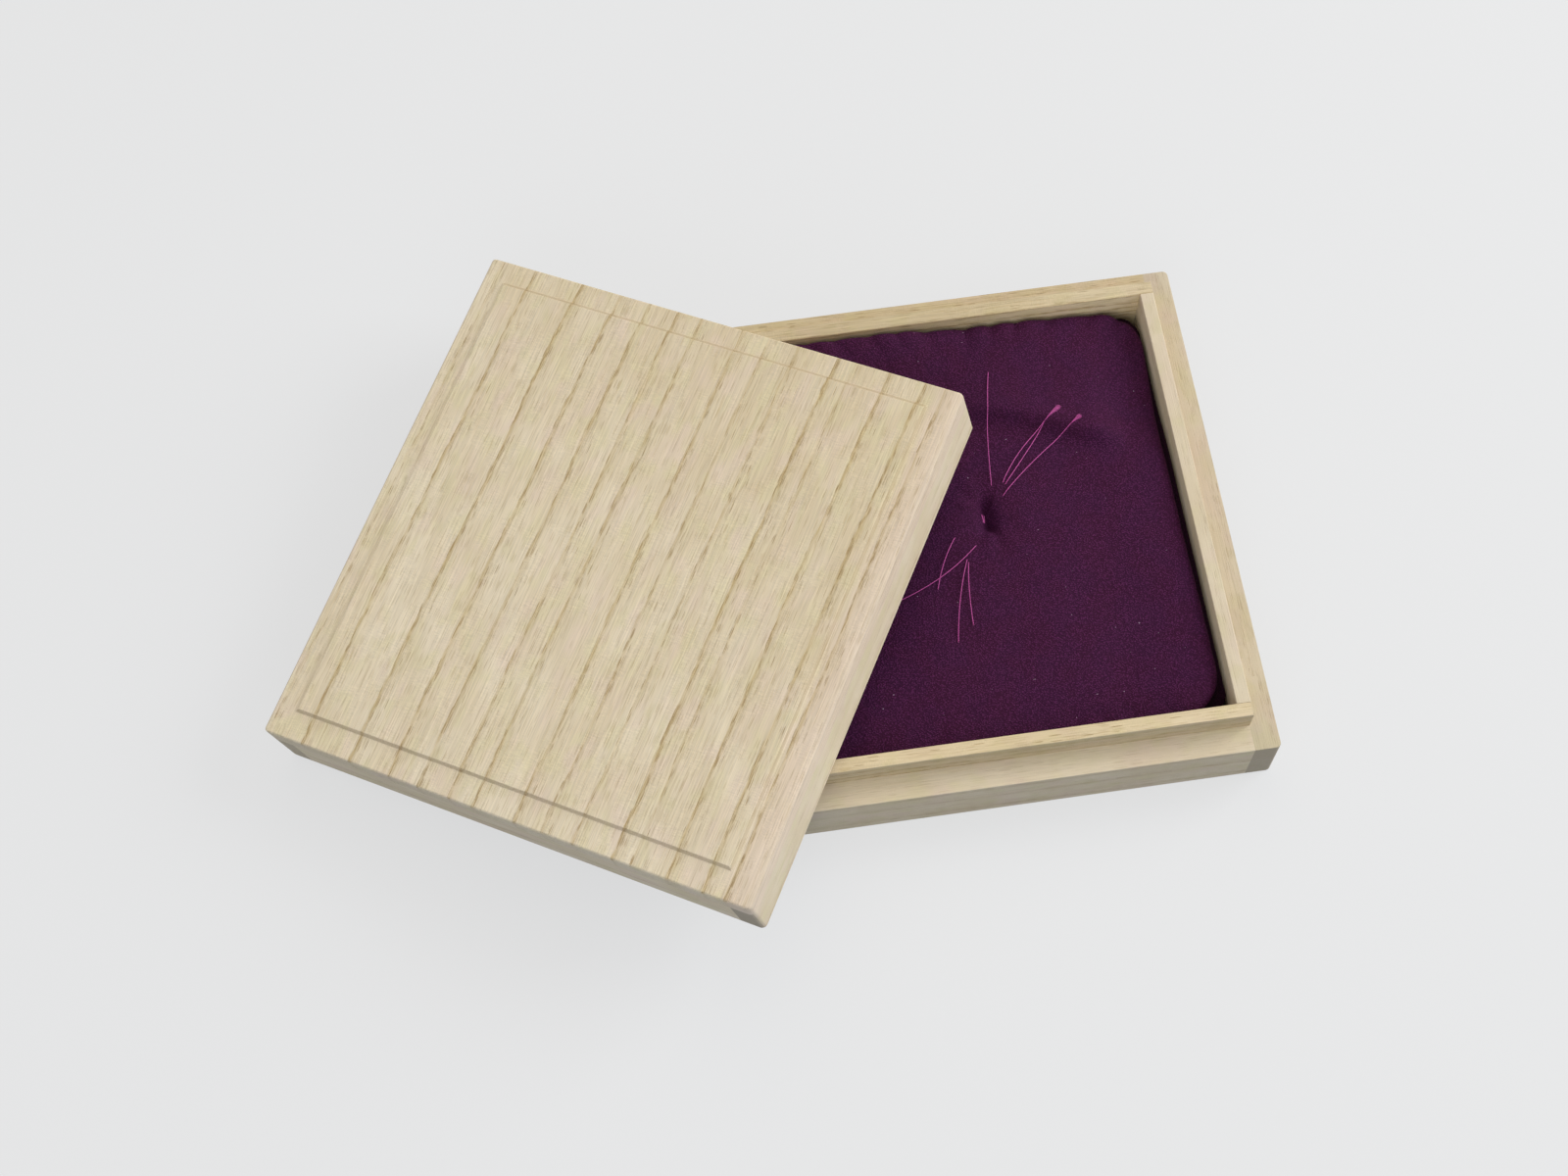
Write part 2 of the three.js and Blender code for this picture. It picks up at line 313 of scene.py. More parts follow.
class Value:
    """A shader socket that can be added, multiplied and so on, so that a formula reads as it is written."""

    def __init__(self, finish, socket):
        self.finish = finish
        self.socket = socket

    def __add__(self, other):
        return self.finish.maths("ADD", self, other)

    def __sub__(self, other):
        return self.finish.maths("SUBTRACT", self, other)

    def __rsub__(self, other):
        return self.finish.maths("SUBTRACT", other, self)

    def __mul__(self, other):
        return self.finish.maths("MULTIPLY", self, other)

    def __truediv__(self, other):
        return self.finish.maths("DIVIDE", self, other)

    __radd__ = __add__
    __rmul__ = __mul__


class Finish:
    """The nodes of a material or of the room. Every node comes from add, also those of formulas."""

    def __init__(self, owner):
        self.owner = owner
        owner.use_nodes = True
        self.tree = owner.node_tree
        self.tree.nodes.clear()

    def add(self, kind, settings=None, sockets=None, output=0):
        """One node, with its settings made and its sockets given values or links."""
        node = self.tree.nodes.new(kind)
        for name, setting in (settings or {}).items():
            if name == "stops":
                self.set_stops(node.color_ramp, setting)
            elif name == "interpolation":
                node.color_ramp.interpolation = setting
            elif name == "points":
                self.set_points(node.mapping, setting)
            else:
                setattr(node, name, setting)
        for name, value in (sockets or {}).items():
            if isinstance(value, Value):
                self.tree.links.new(value.socket, node.inputs[name])
            else:
                node.inputs[name].default_value = value
        return Value(self, node.outputs[output]) if node.outputs else None

    @staticmethod
    def set_stops(ramp, stops):
        while len(ramp.elements) < len(stops):
            ramp.elements.new(0.5)
        for element, (place, colour) in zip(ramp.elements, stops):
            element.position = place
            element.color = (*colour, 1.0)

    @staticmethod
    def set_points(mapping, points):
        curve = mapping.curves[0]
        while len(curve.points) < len(points):
            curve.points.new(0.5, 0.5)
        for point, (x, y) in zip(curve.points, points):
            point.location = (x, y)
            point.handle_type = "VECTOR"
        mapping.update()

    def maths(self, operation, *values):
        return self.add("ShaderNodeMath", {"operation": operation}, dict(enumerate(values)))

    def attribute(self, name, output="Fac"):
        return self.add("ShaderNodeAttribute", {"attribute_name": name}, output=output)

    def vector(self, x, y, z):
        return self.add("ShaderNodeCombineXYZ", sockets={"X": x, "Y": y, "Z": z})

    def split(self, vector):
        return [self.add("ShaderNodeSeparateXYZ", sockets={0: vector}, output=axis) for axis in "XYZ"]

    def noise(self, vector, detail=0.0):
        return self.add("ShaderNodeTexNoise", sockets={"Vector": vector, "Scale": 1.0, "Detail": detail})

    def cells(self, vector, smoothness):
        settings = {"feature": "SMOOTH_F1"}
        sockets = {"Vector": vector, "Scale": 1.0, "Smoothness": smoothness}
        return self.add("ShaderNodeTexVoronoi", settings, sockets)

    def dashes(self, vector, chance):
        """Short marks scattered over stretched cells: 1 inside a mark, 0 outside; chance thins them out."""
        sockets = {"Vector": vector, "Scale": 1.0}
        texture = self.add("ShaderNodeTexVoronoi", {"feature": "F1"}, sockets)
        drawn = self.split(Value(self, texture.socket.node.outputs["Color"]))[0]
        size = self.step(drawn, chance, chance * 0.5)
        return self.step(texture - size * 0.36, 0.14, 0.0) * self.step(chance, 0.0, 0.02)

    def step(self, value, low, high):
        """0 below low, 1 above high and smooth between; falling where low is the higher one."""
        settings = {"interpolation_type": "SMOOTHSTEP"}
        return self.add("ShaderNodeMapRange", settings, {"Value": value, "From Min": low, "From Max": high})

    def blend(self, share, first, second, kind="MIX"):
        """Two colours mixed by a share."""
        colours = [c if isinstance(c, Value) else (*c, 1.0) for c in (first, second)]
        settings = {"data_type": "RGBA", "blend_type": kind, "clamp_factor": True}
        return self.add("ShaderNodeMix", settings, {0: share, 6: colours[0], 7: colours[1]}, output=2)

    def bump(self, height, distance, strength):
        sockets = {"Height": height, "Distance": distance, "Strength": strength}
        return self.add("ShaderNodeBump", sockets=sockets)

    def surface(self, **sockets):
        """The finished surface; fixed numbers are set on the shader itself."""
        named = {name.replace("_", " "): value for name, value in sockets.items()}
        return self.finished(self.add("ShaderNodeBsdfPrincipled", sockets=named))

    def finished(self, shader, output="ShaderNodeOutputMaterial"):
        """The material or world, with the shader joined to its output."""
        self.add(output, sockets={"Surface": shader})
        return self.owner


def stretched_noise(finish, place):
    """A function that gives noise at a place, with features of a given length, width and depth."""
    x, y, z = place

    def texture(length, width, depth=None, detail=0.0):
        return finish.noise(finish.vector(x / length, y / width, z / (depth or width)), detail)

    return texture


# Wood


def free_rings(wood, wavy_place, spacing):
    """Growth rings at a rough spacing: millimetres since the last one's line, and how strongly it shows."""
    texture = stretched_noise(wood, wavy_place)
    _, across, through = wavy_place
    uneven = texture(400, 17, 60) - 0.5
    rings = (across + through * 0.35 + uneven * 9.0) / spacing
    strength = wood.step(texture(300, 9), 0.3, 0.7)
    return wood.maths("FRACT", rings) * spacing, strength * 0.7 + 0.3


def placed_rings(wood, wavy_place, ring_places):
    """The same for growth rings at given places across the lid's board."""
    along, across, _ = wavy_place
    share = (across + along * RING_SLANT + LID_HALF) / (2 * LID_HALF)
    places = [-LID_HALF, *(place for place, _ in ring_places), LID_HALF]
    strengths = [0.0, *(strength for _, strength in ring_places)]
    ends = [(place + LID_HALF) / (2 * LID_HALF) for place in places]
    points = [(end, i / (len(ends) - 1)) for i, end in enumerate(ends)]
    rings = wood.add("ShaderNodeFloatCurve", {"points": points}, {"Value": share}) * (len(ends) - 1)
    lead = STRENGTH_LEAD / (2 * LID_HALF)
    stops = [
        (max(start - lead, 0), ((end - start) * 2 * LID_HALF / WIDEST_RING, strength, 0))
        for start, end, strength in zip(ends, ends[1:], strengths)
    ]
    ramp = wood.add("ShaderNodeValToRGB", {"interpolation": "CONSTANT", "stops": stops}, {"Fac": share})
    width, strength, _ = wood.split(ramp)
    return wood.maths("FRACT", rings) * width * WIDEST_RING, strength


def plain_wood(wood, place, is_lid):
    """The colour between the pores, which drifts to greenish and to rosy; the lid's board also grows darker
    and yellower towards its back and right.
    """
    along, across, _ = place
    texture = stretched_noise(wood, place)
    slow = wood.step(texture(22, 10, 12, detail=1.0), 0.3, 0.7)
    green = wood.step(texture(7, 4, 5, detail=1.0), 0.45, 0.7)
    rosy = wood.step(texture(10, 6, 8, detail=1.0), 0.48, 0.75)
    pale = wood.blend(slow, linear(*STRAW), linear(*LIGHT_STRAW))
    if is_lid:
        border = wood.step(across, ROSY_BORDER - ROSY_FADE, ROSY_BORDER + ROSY_FADE)
        rosy = wood.maths("MAXIMUM", rosy, border * 1.2)
        # The lid's board grows darker and yellower towards its back and right
        back_right_share = wood.step(across * 0.6 - along * 0.8, -40.0, 80.0)
        pale = wood.blend(back_right_share, pale, BACK_RIGHT_DARKER, "MULTIPLY")
    pale = wood.blend(green * 0.5, pale, linear(*GREENISH))
    return wood.blend(rosy * 0.5, pale, linear(*ROSY))


def paulownia(name, contrast=1.0, spacing=None, ring_places=None, tint=(1.0, 1.0, 1.0)):
    """Straw-coloured wood with open pores behind each growth ring, read in the board's own directions."""
    wood = Finish(bpy.data.materials.new(name))
    place = wood.split(wood.attribute("board_place", "Vector"))
    along, across, through = place
    texture = stretched_noise(wood, place)

    meander = texture(40, 30, detail=1.0) - 0.5
    ripple = texture(5, 4, detail=1.0) - 0.5
    wavy_place = (along, across + meander * 2.0 + ripple, through)
    if ring_places:
        since, strength = placed_rings(wood, wavy_place, ring_places)
    else:
        since, strength = free_rings(wood, wavy_place, spacing)
    strength = strength * (wood.attribute("wide_face") * 0.7 + 0.3)

    # Pores: large ones crowd behind each ring's line and thin out after it, fine ones lie all over
    clusters = wood.step(texture(9, 3), 0.34, 0.62)
    onset = wood.step(since, 0.0, 0.5)
    near = wood.step(since, 1.9, 0.5) * onset * strength
    wide = wood.step(since, 5.0, 0.8) * onset * strength
    large = wood.dashes(
        wood.vector(along / 4.2, across / 0.27, through / 0.27),
        near * (clusters + 0.5) + wide * 0.12,
    )
    fine = wood.dashes(
        wood.vector(along / 4.5 + 7.3, across / 0.3, through / 0.3),
        wide * 0.5 + clusters * 0.15 + 0.12,
    )
    long_pores = wood.step(texture(9, 0.24, detail=1.0) + near * 0.12, 0.56, 0.72)

    # Fibres, and the fine cross flecks of the rays in patches
    fibres = texture(14, 0.34, detail=2.0) - 0.5
    flecks = texture(0.24, 1.5, 1.0, detail=1.0) - 0.5
    fleck_patches = wood.step(texture(7, 5), 0.36, 0.6)

    toned = plain_wood(wood, place, bool(ring_places))
    toned = wood.blend(wide * 0.24 * contrast, toned, linear(*LATE_WOOD))
    toned = wood.blend(near * (clusters * 0.34 + 0.26) * contrast, toned, linear(*RING_LINE))
    toned = wood.blend(long_pores * (0.08 + 0.3 * contrast), toned, linear(*LONG_PORE))
    toned = wood.blend(fine * (0.06 + 0.26 * contrast), toned, linear(*FINE_PORE))
    toned = wood.blend(large * 0.6 * contrast, toned, linear(*LARGE_PORE))
    shade = fibres * (0.08 + 0.42 * contrast) + flecks * fleck_patches * 0.3 * contrast + 1.0
    # The tone holds each board's own lightness and the painted light and shade of some faces
    shade = shade * wood.attribute("board_tone")
    toned = wood.blend(1.0, toned, wood.vector(*(shade * share for share in tint)), "MULTIPLY")
    toned = wood.blend(wood.attribute("end_grain"), toned, linear(*CUT_END))
    # Painted shade: the darker slopes round the lid's field are mixed a little towards brown
    toned = wood.blend(wood.attribute("dust") * 0.3, toned, linear(*STEP_SHADE_BROWN))

    relief = fibres * 0.4 - large * 0.9 - fine * 0.4 - long_pores * 0.3 + flecks * fleck_patches * 0.2
    return wood.surface(
        Base_Color=toned,
        Roughness=0.74 - large * 0.1 + fibres * 0.1,
        Specular_IOR_Level=0.3,
        Normal=wood.bump(relief, 0.12 * MM, 0.6),
    )


# Cloth, thread, floor and room


def crepe():
    """Dark purple crepe: a pebbled crinkle of tightly twisted weft, with the odd fleck of lint, a painted
    highlight on its pebbles' tops and painted shade below its seam.
    """
    cloth = Finish(bpy.data.materials.new("purple crepe"))
    place = cloth.split(cloth.add("ShaderNodeTexCoord", output="Object"))
    x, y, z = (axis / MM for axis in place)
    texture = stretched_noise(cloth, (x, y, z))
    drift = texture(3.1, 3.1) - 0.5
    pebbles = cloth.cells(cloth.vector(x / 0.52 + drift * 1.3, y / 0.4 + x / 3.0, z / 0.4), 0.5)
    weave = texture(0.22, 0.16, 0.2, detail=1.0)
    broad = texture(8, 8, detail=1.0)
    height = 1.0 - pebbles * 1.3 + weave * 0.35

    lit_tops = cloth.step(height, 0.45, 1.1)
    base = cloth.blend(cloth.step(broad, 0.35, 0.65), linear(*PLUM), linear(*BLUER_PLUM))
    # Painted highlight: the pebbles' tops are given a lighter plum
    base = cloth.blend(lit_tops * 0.58, base, linear(*PAINTED_HIGHLIGHT_PLUM))
    lint = cloth.step(texture(0.8, 0.6, 0.7), 0.878, 0.9)
    base = cloth.blend(lint * 0.5, base, linear(*LINT))
    # Painted shade: the cloth below the seam is darkened nearly to black
    base = cloth.blend(cloth.attribute("below_seam") * 0.95, base, linear(*PAINTED_SEAM_SHADE))
    return cloth.surface(
        Base_Color=base,
        Roughness=0.7 - lit_tops * 0.2,
        Specular_IOR_Level=0.06,
        Sheen_Weight=0.05,
        Sheen_Roughness=0.45,
        Sheen_Tint=(*linear(*PLUM_SHEEN), 1.0),
        Normal=cloth.bump(height, 0.2 * MM, 0.9),
    )


def thread():
    """Magenta sewing thread."""
    yarn = Finish(bpy.data.materials.new("magenta thread"))
    texture = stretched_noise(yarn, yarn.split(yarn.add("ShaderNodeTexCoord", output="Object")))
    fibre = texture(0.3 * MM, 0.3 * MM, detail=1.0)
    base = yarn.blend(fibre, linear(*MAGENTA), linear(*LIGHT_MAGENTA))
    return yarn.surface(
        Base_Color=base,
        Roughness=0.55,
        Sheen_Weight=0.1,
        Normal=yarn.bump(fibre, 0.03 * MM, 0.5),
    )


def seeing(finish):
    """1 for the rays that see the floor and the room as pale, 0 for those that carry their light."""
    kinds = [finish.add("ShaderNodeLightPath", output=f"Is {kind} Ray") for kind in SEEING_RAYS]
    return finish.maths("MAXIMUM", finish.maths("MAXIMUM", kinds[0], kinds[1]), kinds[2])


def pale_floor():
    """A floor that the camera sees pale, with the box's shadow, and that throws little light back."""
    floor = Finish(bpy.data.materials.new("pale floor"))
    seen = seeing(floor)
    speck = floor.noise(floor.add("ShaderNodeTexCoord", output="Object"), detail=2.0)
    tone = floor.blend(speck * 0.02, linear(*PALE_GREY), linear(*SPECK_GREY))
    tone = floor.blend(seen, linear(*FLOOR_BOUNCE), tone)
    matt = floor.add("ShaderNodeBsdfDiffuse", sockets={"Color": tone})
    glow = floor.add("ShaderNodeEmission", sockets={"Color": (*linear(*PALE_GREY), 1.0), "Strength": 1.0})
    return floor.finished(floor.add("ShaderNodeMixShader", sockets={0: seen * FLOOR_GLOW, 1: matt, 2: glow}))


def pale_room():
    """A dim, cool light from all sides; the camera sees the room as pale grey."""
    room = Finish(bpy.data.worlds.new("room"))
    light = room.add("ShaderNodeBackground", sockets={"Color": (*ROOM_TINT, 1.0), "Strength": ROOM_SHARE})
    pale = room.add("ShaderNodeBackground", sockets={"Color": (*linear(*PALE_GREY), 1.0)})
    mixed = room.add("ShaderNodeMixShader", sockets={0: seeing(room), 1: light, 2: pale})
    return room.finished(mixed, "ShaderNodeOutputWorld")


# Boards


def body_of(node):
    """The body that a wooden piece belongs to."""
    return "lid" if node.startswith("lid_") else "tray"


def lid_frame():
    """The lid's own axes as a matrix: x and y along its rim, z up through its board, centred on the rim."""
    def points(node):
        return [Vector(v.co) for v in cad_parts[node].data.vertices]

    def middle(node):
        return sum(points(node), Vector()) / len(points(node))

    x_axis = (middle("lid_right_wall") - middle("lid_left_wall")).normalized()
    y_axis = (middle("lid_back_wall") - middle("lid_front_wall")).normalized()
    z_axis = x_axis.cross(y_axis).normalized()
    y_axis = z_axis.cross(x_axis)
    centre = (middle("lid_right_wall") + middle("lid_left_wall")) / 2
    rim = min(point.dot(z_axis) for point in points("lid_left_wall"))
    centre += z_axis * (rim - centre.dot(z_axis))
    matrix = Matrix((x_axis, y_axis, z_axis)).transposed().to_4x4()
    matrix.translation = centre
    return matrix


def whole_faces(node):
    """A CAD node's mesh with its loose triangles joined and its flat faces made whole."""
    board = bmesh.new()
    board.from_mesh(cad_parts[node].data)
    bmesh.ops.remove_doubles(board, verts=board.verts, dist=WELD * MM)
    bmesh.ops.dissolve_limit(board, angle_limit=FLAT_ANGLE, verts=board.verts, edges=board.edges)
    return board


def close_glue_gap(board, matrix, wall):
    """A lid wall reaches the board above it and, at the front and back, the side walls."""
    inverse = matrix.inverted()
    places = {v: inverse @ v.co for v in board.verts}
    top = max(p.z for p in places.values())
    reach = max(p.x for p in places.values())
    for vertex, place in places.items():
        if place.z > top - WELD * MM:
            place.z += GLUE_GAP * MM
        if wall in ("lid_front_wall", "lid_back_wall") and abs(place.x) > reach - WELD * MM:
            place.x += math.copysign(GLUE_GAP * MM, place.x)
        vertex.co = matrix @ place


def sharpen_edges(board, matrix):
    """The lid board's upper edge is rounded less at its right and ends, and least along its left side."""
    inverse = matrix.inverted()
    places = {v: inverse @ v.co / MM for v in board.verts}
    half_x = max(p.x for p in places.values())
    half_y = max(p.y for p in places.values())
    border = max(p.z for p in places.values() if abs(p.y) > half_y - END_INSET - WELD)
    for vertex, place in places.items():
        from_edge = min(half_x - abs(place.x) - ROUNDING, half_y - abs(place.y) - END_INSET)
        drop = border - place.z
        if from_edge < WELD and -WELD < drop < ROUNDING + WELD:
            inset = ROUNDING - math.sqrt(max(ROUNDING ** 2 - (ROUNDING - drop) ** 2, 0))
            place.y += math.copysign(inset * END_INSET / ROUNDING * ENDS_SHARPER, place.y)
            if place.x < 0:
                place.x -= inset * SHARPER
                place.z = border - drop * (1 - SHARPER)
            else:
                place.z = border - drop * (1 - ENDS_SHARPER)
            vertex.co = matrix @ (place * MM)


def ease_arrises(board, neighbours):
    """Outer edges are eased, less beside a narrow face; edges against another board stay square."""
    eased = []
    for edge in board.edges:
        if edge.is_manifold and edge.is_convex and edge.calc_face_angle() > ARRIS_ANGLE:
            middle = (edge.verts[0].co + edge.verts[1].co) / 2
            if all(tree.find_nearest(middle)[3] > TOUCHING * MM for tree in neighbours):
                eased.append(edge)

    def face_width(edge):
        return min(face.calc_area() / edge.calc_length() for face in edge.link_faces)

    narrow = [edge for edge in eased if face_width(edge) < 2 * EASED_ARRIS * MM]
    broad = [edge for edge in eased if edge not in narrow]
    for edges, width in ((broad, EASED_ARRIS), (narrow, NARROW_ARRIS)):
        edges = [edge for edge in edges if edge.is_valid]
        bmesh.ops.bevel(
            board, geom=edges, offset=width * MM, offset_type="OFFSET", segments=2, profile=0.5,
            affect="EDGES", clamp_overlap=True,
        )


def lid_painted_light(normals, middles, axes):
    """Painted shade and light on the lid board's faces, on its field's slope and its rounded right edge, and
    which slope faces take the brown of painted shade.
    """
    grain, across, through = axes
    tones = np.ones(len(normals))
    step_shaded = np.zeros(len(normals))
    up = normals @ through
    inside = (np.abs(middles[:, 0]) < FIELD_REACH) & (np.abs(middles[:, 1]) < FIELD_REACH)
    steep = inside & (up > 0.5) & (up < 0.9)
    # Painted shade on the slope where it faces front, back or right; painted light where it faces left
    facings = {"front": grain, "back": -grain, "right": across, "left": -across}
    for side, facing in facings.items():
        slope = steep & (normals @ facing > 0.3)
        tones[slope] = PAINTED_SLOPE_LIGHT[side]
        step_shaded[slope] = PAINTED_SLOPE_LIGHT[side] < 1
    # Painted shade on the board's rounded right edge
    tones[~inside & (up > 0.2) & (up < 0.985) & (normals @ across > 0.15)] = RIGHT_EDGE_PAINTED_SHADE
    return tones, step_shaded


def face_tones(node, normals, middles, axes):
    """How light each of a board's faces is, painted light and shade included, and which faces take the brown
    of painted shade.
    """
    tones = np.full(len(normals), BOARD_TONES.get(node, LID_WALL_TONE))
    step_shaded = np.zeros(len(normals))
    if node == "lid_top_board":
        changes, step_shaded = lid_painted_light(normals, middles, axes)
        tones *= changes
    # Painted light and shade on the lip strips' upright faces
    if node in LIP_SIDE_PAINTED_LIGHT:
        tones[np.abs(normals[:, 2]) < 0.5] = LIP_SIDE_PAINTED_LIGHT[node]
    return tones, step_shaded


def finished_mesh(board, node, axes, shift):
    """The board's mesh, with what its wood reads kept on its points and faces."""
    mesh = bpy.data.meshes.new(node + "_planed")
    board.to_mesh(mesh)
    axes = np.array(axes)
    grain, _, through = axes
    points = np.array([v.co for v in mesh.vertices]) @ axes.T / MM + np.array(shift)
    middles = np.array([p.center for p in mesh.polygons]) @ axes.T / MM + np.array(shift)
    normals = np.array([p.normal for p in mesh.polygons])
    tones, step_shaded = face_tones(node, normals, middles, axes)
    cut = np.clip((np.abs(normals @ grain) - 0.5) * 2, 0, 1)

    stored = mesh.attributes.new("board_place", "FLOAT_VECTOR", "POINT")
    stored.data.foreach_set("vector", points.astype(np.float32).ravel())
    keep_values(mesh, "end_grain", "FACE", END_GRAIN.get(node, END_GRAIN_ELSEWHERE) * cut)
    keep_values(mesh, "wide_face", "FACE", np.clip(np.abs(normals @ through) * 1.5, 0, 1))
    # Painted light and shade go into the tone; the slope's painted shade also goes into an attribute of its
    # own
    keep_values(mesh, "board_tone", "FACE", tones)
    keep_values(mesh, "dust", "FACE", step_shaded)
    mesh.polygons.foreach_set("use_smooth", [True] * len(mesh.polygons))
    mesh.set_sharp_from_angle(angle=SHADED_SHARP_ANGLE)
    return mesh


def grain_directions(lid):
    """Each wooden piece's directions along the grain, across the rings and through the board."""
    turned = lid.to_3x3()
    x_axis, y_axis, z_axis = Vector((1, 0, 0)), Vector((0, 1, 0)), Vector((0, 0, 1))
    lid_x, lid_y, lid_z = turned @ x_axis, turned @ y_axis, turned @ z_axis
    long_way = (x_axis, z_axis, y_axis)
    deep_way = (y_axis, z_axis, x_axis)
    lid_long_way = (lid_x, lid_z, lid_y)
    lid_deep_way = (lid_y, lid_z, lid_x)
    return {
        "tray_bottom_board": (y_axis, x_axis, z_axis),
        "tray_front_wall": long_way,
        "tray_back_wall": long_way,
        "tray_left_wall": deep_way,
        "tray_right_wall": deep_way,
        "lip_front": long_way,
        "lip_back": long_way,
        "lip_left": deep_way,
        "lip_right": deep_way,
        "lid_top_board": (lid_y * -1, lid_x, lid_z),
        "lid_front_wall": lid_long_way,
        "lid_back_wall": lid_long_way,
        "lid_left_wall": lid_deep_way,
        "lid_right_wall": lid_deep_way,
    }


def board_finishes(nodes):
    """Each piece's wood: wide boards show their rings, walls are plainer, some strips are yellower."""
    wall_wood = paulownia("planed paulownia", contrast=0.35, spacing=6.5, tint=(1.0, 0.99, 0.98))
    strip_wood = paulownia("paulownia strip", contrast=0.85, spacing=3.4, tint=(1.02, 0.975, 0.86))
    others = {
        "tray_bottom_board": paulownia("paulownia board", spacing=9.5),
        "tray_back_wall": strip_wood,
        "lip_front": strip_wood,
        "lip_back": strip_wood,
        "lid_top_board": paulownia("paulownia lid board", ring_places=LID_RINGS),
    }
    return {node: others.get(node, wall_wood) for node in nodes}


def whole_boards(nodes, lid):
    """The wooden pieces as meshes with whole faces, the lid's glued up."""
    boards = {}
    for node in nodes:
        boards[node] = whole_faces(node)
        if body_of(node) == "lid" and node != "lid_top_board":
            close_glue_gap(boards[node], lid, node)
    sharpen_edges(boards["lid_top_board"], lid)
    return boards


def make_boards():
    """Every wooden piece: a joined copy of its CAD node with eased arrises and its grain's directions."""
    lid = lid_frame()
    directions = grain_directions(lid)
    finishes = board_finishes(directions)
    boards = whole_boards(directions, lid)
    trees = {node: BVHTree.FromBMesh(board) for node, board in boards.items()}
    for number, (node, board) in enumerate(boards.items()):
        body = body_of(node)
        ease_arrises(board, [trees[other] for other in trees if other != node and body_of(other) == body])
        if node == "lid_top_board":
            shift = [-lid.translation.dot(axis) / MM for axis in directions[node]]
        else:
            shift = [distance * number for distance in PLANK_SHIFT]
        mesh = finished_mesh(board, node, directions[node], shift)
        board.free()
        mesh.materials.append(finishes[node])
        piece = placed(node + "_planed", mesh)
        weighted = piece.modifiers.new("even shading", "WEIGHTED_NORMAL")
        weighted.keep_sharp = True
        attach(piece, body)
        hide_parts(node)


# Cushion


def smooth_noise(x, y, seed, size):
    """Even, repeatable noise from -1 to 1 with features of about the given size in millimetres."""
    flat = zip(np.ravel(x) / size, np.ravel(y) / size)
    values = [noise.noise(Vector((u, v, seed))) for u, v in flat]
    return np.reshape(values, np.shape(x))


def rising(value, start, end):
    """0 before start, 1 after end and smooth between; falling where start is the higher one."""
    share = np.clip((value - start) / (end - start), 0, 1)
    return share * share * (3 - 2 * share)


def outline(half_x, half_y, radius, side_draw):
    """Even points round the cushion, with round corners and a right side that draws in from its wall."""
    angles = np.linspace(0, np.pi / 2, 24)
    arcs = []
    for quarter, (sign_x, sign_y) in enumerate(((1, 1), (-1, 1), (-1, -1), (1, -1))):
        turned = angles + quarter * np.pi / 2
        x = sign_x * (half_x - radius) + radius * np.cos(turned)
        y = sign_y * (half_y - radius) + radius * np.sin(turned)
        arcs.append(np.stack([x, y], 1))
    line = np.concatenate([*arcs, arcs[0][:1]])
    gone = np.concatenate([[0], np.cumsum(np.linalg.norm(np.diff(line, axis=0), axis=1))])
    even = np.linspace(0, gone[-1], AROUND, endpoint=False)
    x, y = np.interp(even, gone, line[:, 0]), np.interp(even, gone, line[:, 1])
    easing = 1 - FRONT_EASING * rising(y, *DRAW_TO_FRONT)
    x -= side_draw * rising(y, *DRAW_FROM_BACK) * easing * rising(x, *DRAW_ACROSS)
    return x, y, even / gone[-1]


def tuft_dip(distance):
    """How far the cloth is drawn down at a distance from the tuft."""
    return TUFT_DEPTH * np.exp(-(distance / TUFT_WIDTH) ** 2) + TUFT_FUNNEL * np.exp(-distance / TUFT_REACH)


def tuft_creases(x, y, distance):
    """Fine creases that run out from the tuft on all sides."""
    angle = np.arctan2(y - TUFT_PLACE[1], x - TUFT_PLACE[0])
    folds = np.cos(7 * angle + 1.3 * np.cos(2 * angle + 0.6)) + 0.5 * np.cos(12 * angle + 1.0)
    return CREASE_HEIGHT * folds * np.exp(-distance / CREASE_REACH) * (1 - np.exp(-distance / CREASE_START))


def pushed_up(x, y):
    """How far the wadding is pushed up along the back and towards the back of the right side."""
    along_back = BACK_LIFT * rising(x, *BACK_LIFT_ACROSS) + LEFT_LIFT * rising(x, *LEFT_LIFT_ACROSS)
    lift = along_back * rising(y, *BACK_LIFT_DEPTH)
    return lift + RIGHT_LIFT * rising(x, *RIGHT_LIFT_ACROSS) * rising(y, *RIGHT_LIFT_DEPTH)


def soft_fold(x, y):
    """A fold in front of the raised part: a soft step up, with a long slope down behind it."""
    share = (x - FOLD_START[0]) / (FOLD_END[0] - FOLD_START[0])
    fold_y = FOLD_START[1] + share * (FOLD_END[1] - FOLD_START[1]) + FOLD_WAVE * np.sin(share * 5)
    behind = y - fold_y
    ridge = FOLD_HEIGHT / (1 + np.exp(-behind / FOLD_SOFTNESS)) * np.exp(-np.maximum(behind, 0) / FOLD_REACH)
    return ridge * (rising(share, -0.6, 0.2) * rising(share, 1.3, 0.95))


def cushion_top(x, y, half_x, half_y):
    """Height of the cloth over the plain edge height, in millimetres."""
    crown = CROWN * (1 - (x / half_x) ** 2) * (1 - (y / half_y) ** 2)
    distance = np.hypot(x - TUFT_PLACE[0], np.maximum(np.abs(y - TUFT_PLACE[1]) - TUFT_LENGTH / 2, 0))
    swell = 0.42 * smooth_noise(x, y, 3.7, 26) + 0.16 * smooth_noise(x, y, 9.1, 11)
    tufted = crown - tuft_dip(distance) + tuft_creases(x, y, distance)
    return tufted + pushed_up(x, y) + soft_fold(x, y) + swell


